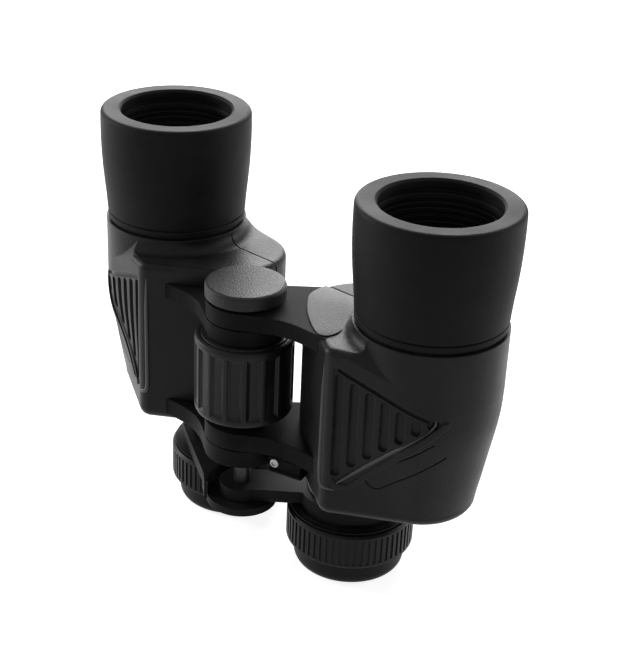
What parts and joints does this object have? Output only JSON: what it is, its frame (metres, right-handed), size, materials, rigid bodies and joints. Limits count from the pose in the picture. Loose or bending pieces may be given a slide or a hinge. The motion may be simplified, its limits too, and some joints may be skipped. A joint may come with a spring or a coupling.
{
  "type": "binoculars",
  "caption": "Porro-prism binoculars with rubber armour, flared objective hoods, centre focus wheel, diopter ring and a folding hinge that sets the eyepiece spacing.",
  "frame": {"origin": "middle of the footprint, on the plane of the eyecup rims that the instrument stands on", "axes": "+Z from the eyecups to the objectives, +X to the right half, +Y from the hinge and focus wheel towards the barrels"},
  "size_m": [0.1798, 0.0707, 0.1521],
  "materials": {
    "alloy_black": "black crinkle-painted die cast alloy",
    "armour_rubber": "matt black moulded rubber, finely pebbled",
    "hood_rubber": "satin black rubber, finely pebbled",
    "screw_black": "blackened steel",
    "shelf_alloy": "matt black anodised plate",
    "prism_glass": "ground and polished prism glass",
    "clip_steel": "plain spring steel",
    "tube_black": "matt black, ridged inside against glare",
    "coated_glass": "lens glass with a faint blue-violet coating",
    "bridge_black": "satin black painted alloy",
    "eye_glass": "eyepiece glass with a faint coating",
    "cell_black": "black plastic lens cell",
    "cup_rubber": "soft black rubber",
    "ring_black": "black moulded plastic with fine ribs",
    "bush_brass": "turned brass",
    "cap_black": "satin black moulded cap",
    "wheel_black": "black moulded wheel core",
    "wheel_rubber": "black rubber with broad flutes",
    "spindle_steel": "turned steel"
  },
  "bodies": {
    "right_half": {"right_prism_housing": "alloy_black", "right_armour": "armour_rubber", "right_prism_cover": "alloy_black", "right_cover_screws": "screw_black", "right_prism_shelf": "shelf_alloy", "right_rear_prism": "prism_glass", "right_front_prism": "prism_glass", "right_prism_clips": "clip_steel", "right_clip_screws": "clip_steel", "right_objective_tube": "tube_black", "right_objective_crown": "coated_glass", "right_objective_flint": "coated_glass", "right_lens_retainer": "tube_black", "right_objective_hood": "hood_rubber", "upper_bush": "bush_brass", "lower_bush": "bush_brass", "tripod_socket": "bush_brass"},
    "left_half": {"left_prism_housing": "alloy_black", "left_armour": "armour_rubber", "left_prism_cover": "alloy_black", "left_cover_screws": "screw_black", "left_prism_shelf": "shelf_alloy", "left_rear_prism": "prism_glass", "left_front_prism": "prism_glass", "left_prism_clips": "clip_steel", "left_clip_screws": "clip_steel", "left_objective_tube": "tube_black", "left_objective_crown": "coated_glass", "left_objective_flint": "coated_glass", "left_lens_retainer": "tube_black", "left_objective_hood": "hood_rubber", "hinge_washers": "clip_steel"},
    "focus_wheel": {"focus_wheel_core": "wheel_black", "focus_wheel_grip": "wheel_rubber"},
    "focus_carriage": {"focus_spindle": "spindle_steel", "right_bridge_arm": "bridge_black", "bridge_screw": "screw_black", "right_ocular_tube": "tube_black", "right_field_lens": "eye_glass", "right_field_ring": "tube_black", "right_field_stop": "tube_black"},
    "left_ocular_carriage": {"left_bridge_arm": "bridge_black", "left_ocular_tube": "tube_black", "left_field_lens": "eye_glass", "left_field_ring": "tube_black", "left_field_stop": "tube_black", "left_eye_cell": "cell_black", "left_eye_lens": "eye_glass", "left_eyepiece_ring": "ring_black", "left_eyecup": "cup_rubber"},
    "diopter_ring": {"diopter_ring": "ring_black", "right_eyecup": "cup_rubber"},
    "right_eye_cell": {"right_eye_cell": "cell_black", "right_eye_lens": "eye_glass"},
    "hinge_cap": {"hinge_cap": "cap_black"}
  },
  "joints": [
    {"name": "interpupillary_hinge", "type": "hinge", "parent": "right_half", "child": "left_half", "pos_m": [0, -0.0176, 0.074], "axis": [0, 0, 1], "range_deg": [-12.9, 24.4]},
    {"name": "focus_slide", "type": "slide", "parent": "right_half", "child": "focus_carriage", "axis": [0, 0, 1], "range_m": [-0.005, 0.003]},
    {"name": "focus_turn", "type": "hinge", "parent": "right_half", "child": "focus_wheel", "pos_m": [0, -0.0176, 0.0765], "axis": [0, 0, 1], "range_deg": [-180, 108]},
    {"name": "left_carriage_turn", "type": "hinge", "parent": "focus_carriage", "child": "left_ocular_carriage", "pos_m": [0, -0.0176, 0.0235], "axis": [0, 0, 1], "range_deg": [-12.9, 24.4]},
    {"name": "diopter_slide", "type": "slide", "parent": "focus_carriage", "child": "right_eye_cell", "axis": [0, 0, 1], "range_m": [-0.0014, 0.0014]},
    {"name": "diopter_turn", "type": "hinge", "parent": "focus_carriage", "child": "diopter_ring", "pos_m": [0.03115, 0.0086, 0.0125], "axis": [0, 0, 1], "range_deg": [-71, 71]},
    {"name": "cap_pull", "type": "slide", "parent": "right_half", "child": "hinge_cap", "axis": [0, 0, 1], "range_m": [0, 0.025]}
  ],
  "couplings": [
    {"joint": "focus_turn", "follows": "focus_slide", "rad_per_m": 625},
    {"joint": "left_carriage_turn", "follows": "interpupillary_hinge", "ratio": 1},
    {"joint": "diopter_turn", "follows": "diopter_slide", "rad_per_m": 877}
  ]
}
